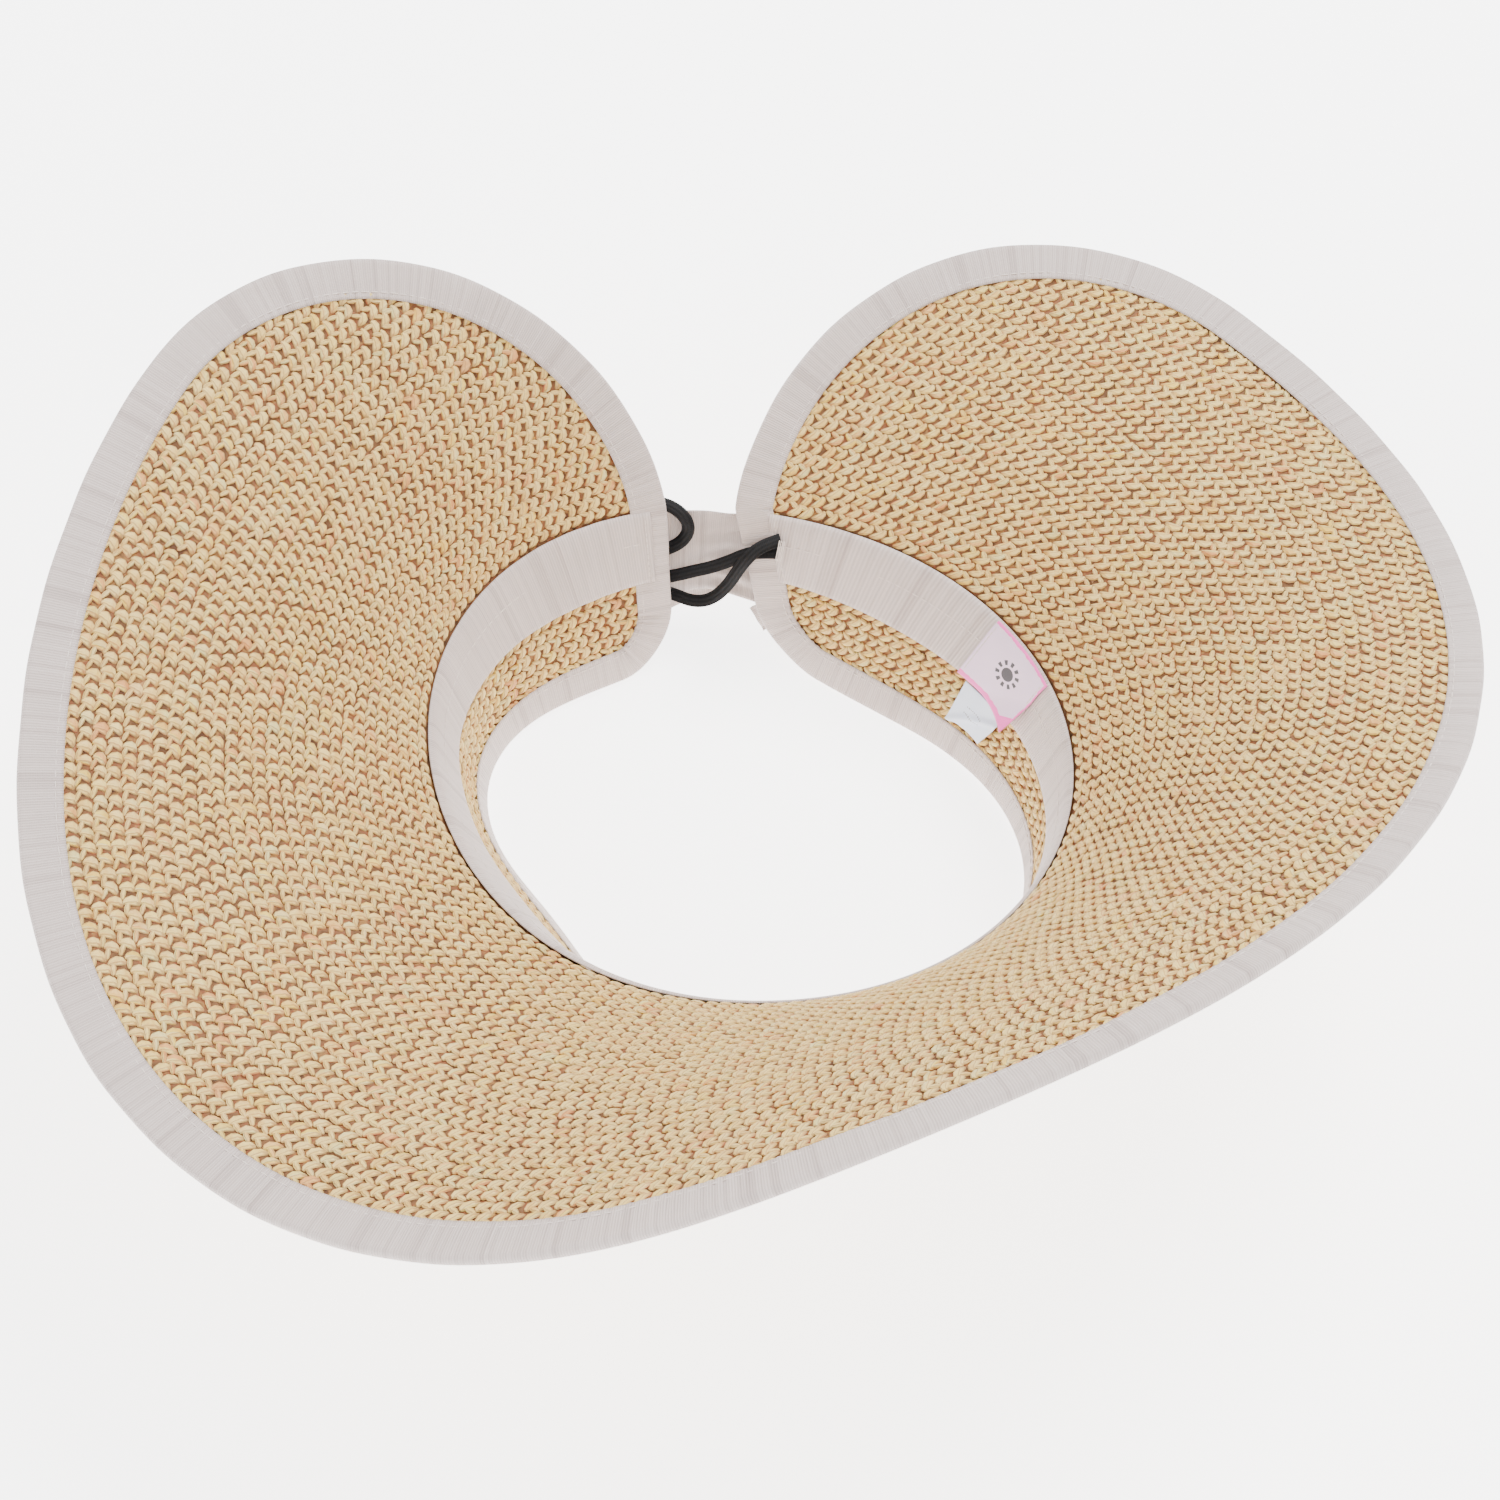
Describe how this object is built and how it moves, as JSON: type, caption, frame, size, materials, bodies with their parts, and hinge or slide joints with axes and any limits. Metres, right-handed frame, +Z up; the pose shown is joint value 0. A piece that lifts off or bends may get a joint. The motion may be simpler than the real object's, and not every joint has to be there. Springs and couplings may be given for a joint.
{
  "type": "sun visor",
  "caption": "Wide-brim roll-up straw sun visor with grosgrain edge binding, inner sweatband, back bow and elastic loop closure.",
  "frame": {"origin": "centre of the bounding box, on the surface the visor lies on, crown-down", "axes": "+Z up with the visor lying on its crown's free edge, +Y towards the closure at the back of the head, +X to the right seen from the front of the brim"},
  "size_m": [0.4017, 0.3275, 0.1656],
  "materials": {
    "straw": "matt knitted paper straw",
    "grosgrain": "fine ribbed ribbon",
    "label_satin": "satin",
    "care_satin": "satin",
    "thread": "polyester sewing thread",
    "elastic": "woven elastic"
  },
  "bodies": {
    "root": {"brim_panel": "straw", "crown_panel": "straw", "edge_binding": "grosgrain", "sweatband": "grosgrain", "hatband": "grosgrain", "bow_bridge": "grosgrain", "bow_knot": "grosgrain", "bow_tail_left": "grosgrain", "bow_tail_right": "grosgrain", "brand_label": "label_satin", "brim_binding_thread": "thread", "crown_binding_thread": "thread", "sweatband_thread": "thread", "sweatband_end_threads": "thread", "label_threads": "thread", "bridge_threads": "thread", "elastic_loop_right": "elastic", "elastic_loop_left": "elastic", "elastic_tack_right": "thread"},
    "care_label_flap": {"care_label": "care_satin"},
    "bow_loop_left": {"bow_loop_left": "grosgrain"},
    "bow_loop_right": {"bow_loop_right": "grosgrain"}
  },
  "joints": [
    {"name": "care_label_lift", "type": "hinge", "parent": "root", "child": "care_label_flap", "pos_m": [0.07767, 0.03335, 0.03151], "axis": [-0.5558, 0.831, -0.0253], "range_deg": [0, 60], "stiffness_Nm_per_rad": 0.002},
    {"name": "bow_loop_left_lift", "type": "hinge", "parent": "root", "child": "bow_loop_left", "pos_m": [0.00362, 0.09371, 0.02461], "axis": [-0.0678, -0.352, -0.9335], "range_deg": [0, 18], "stiffness_Nm_per_rad": 0.03},
    {"name": "bow_loop_right_lift", "type": "hinge", "parent": "root", "child": "bow_loop_right", "pos_m": [0.01868, 0.09048, 0.02416], "axis": [0.1076, 0.3555, 0.9285], "range_deg": [0, 18], "stiffness_Nm_per_rad": 0.03}
  ]
}
